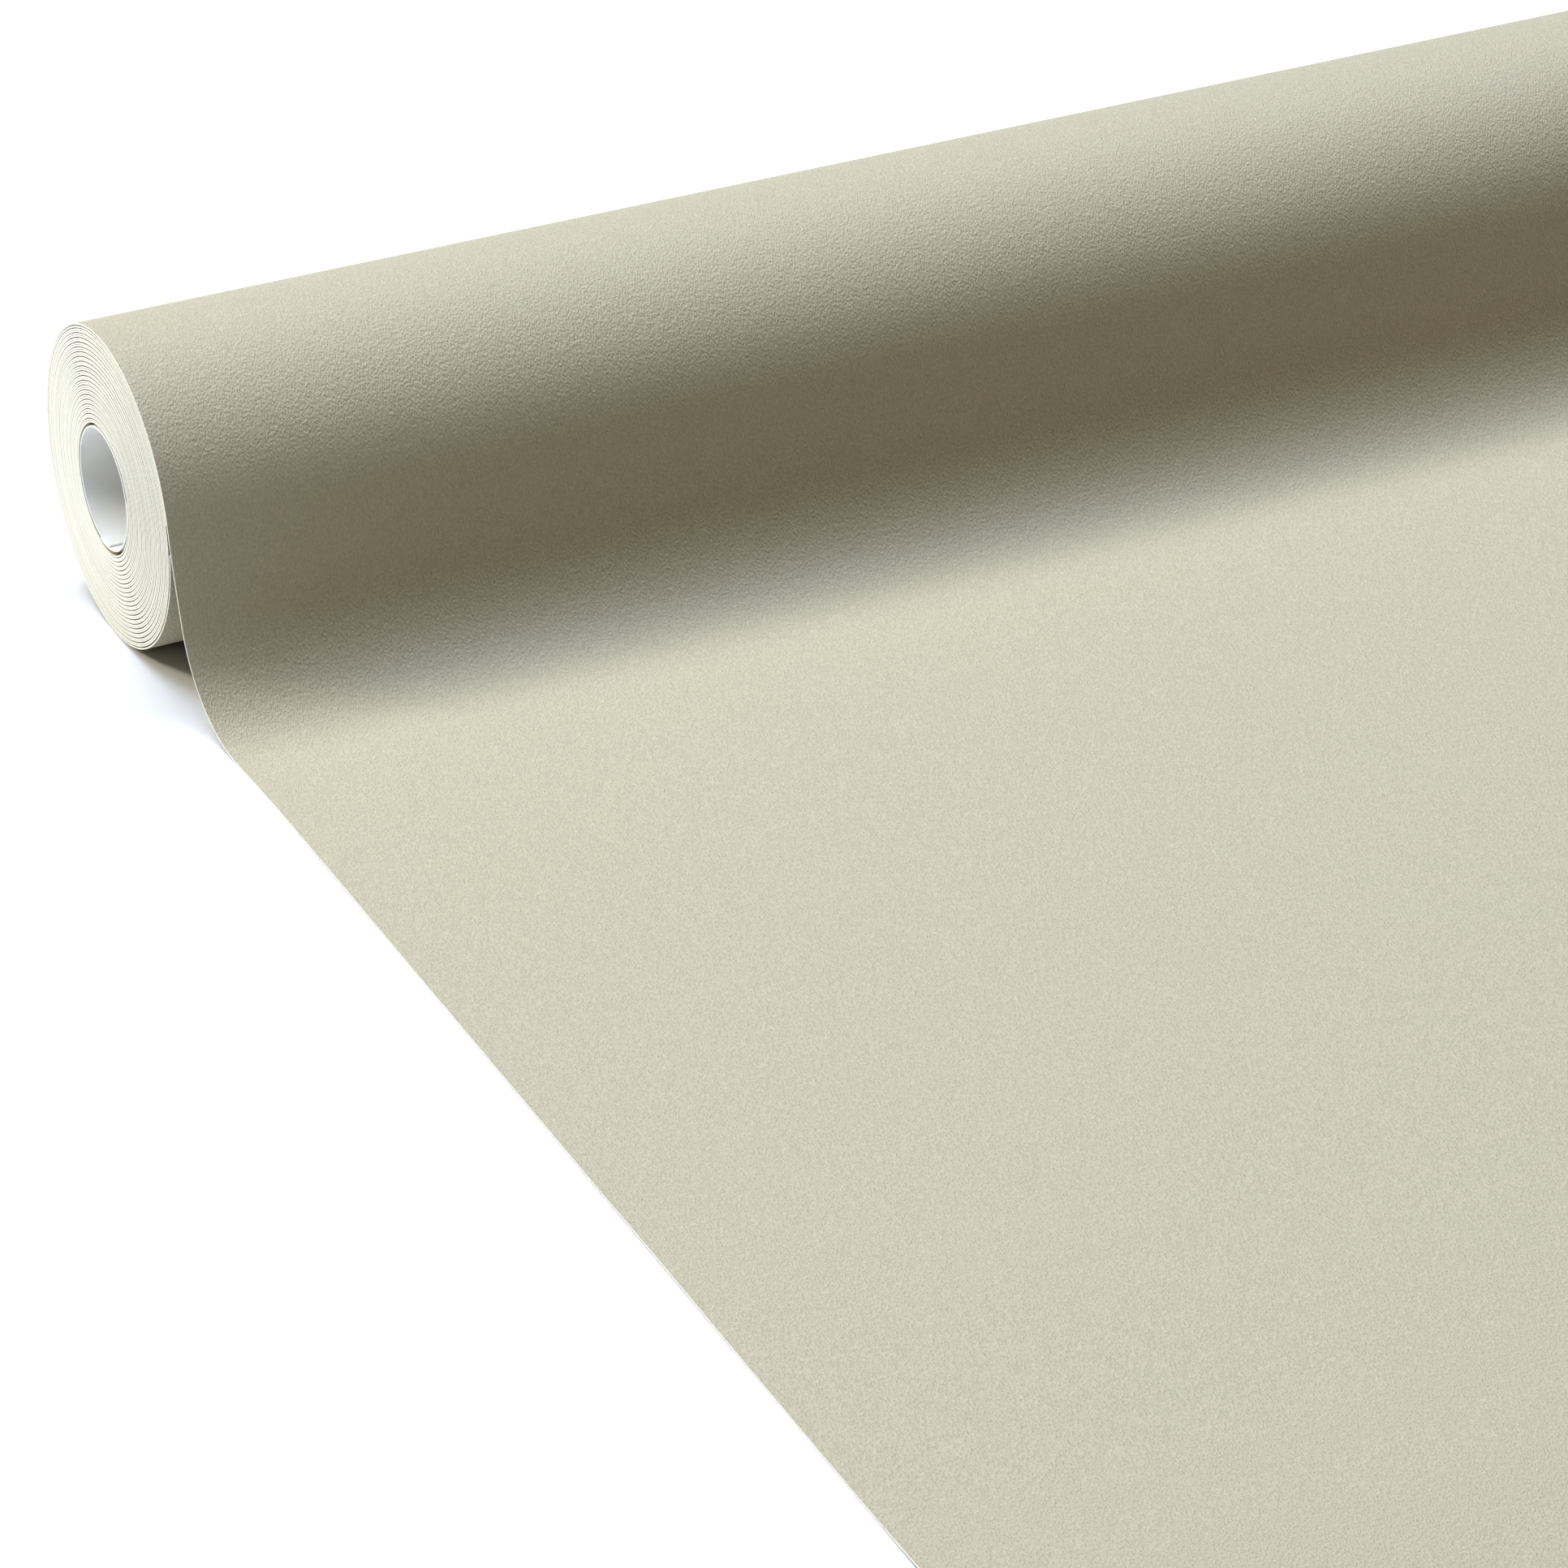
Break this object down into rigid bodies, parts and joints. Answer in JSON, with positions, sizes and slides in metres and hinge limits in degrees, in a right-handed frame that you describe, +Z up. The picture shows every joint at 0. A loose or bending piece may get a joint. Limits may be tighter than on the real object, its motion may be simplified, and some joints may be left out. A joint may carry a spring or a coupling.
{
  "type": "backdrop paper roll",
  "caption": "Roll of embossed greige backdrop paper on a thin card liner, partly unrolled: the web hangs down the front, bends out along the floor and lies flat.",
  "frame": {"origin": "on the axis of the core's bore, at mid-length; the floor is 33.6 mm below it", "axes": "+X along the bore, +Z up, and the sheet is pulled off towards -Y"},
  "size_m": [0.53, 0.4626, 0.0702],
  "materials": {
    "liner_card": "smooth matte white card",
    "tape": "matte",
    "wound_paper": "matte, cream cut edges",
    "backdrop_paper": "matte, finely embossed greige face on a plain pale back"
  },
  "bodies": {
    "standing_web": {"outer_lap": "backdrop_paper", "lead_out": "backdrop_paper"},
    "roll": {"core_liner": "liner_card", "start_tape": "tape", "wound_web": "wound_paper"},
    "pulled_sheet": {"free_sheet": "backdrop_paper"}
  },
  "joints": [
    {"name": "roll_spin", "type": "hinge", "parent": "standing_web", "child": "roll", "pos_m": [0, -0.0025, 0.0014], "axis": [1, 0, 0], "range_deg": [0, 360]},
    {"name": "sheet_pull", "type": "slide", "parent": "standing_web", "child": "pulled_sheet", "axis": [0, -1, 0], "range_m": [0, 0.221]}
  ],
  "couplings": [
    {"joint": "sheet_pull", "follows": "roll_spin", "m_per_rad": 0.0351}
  ]
}
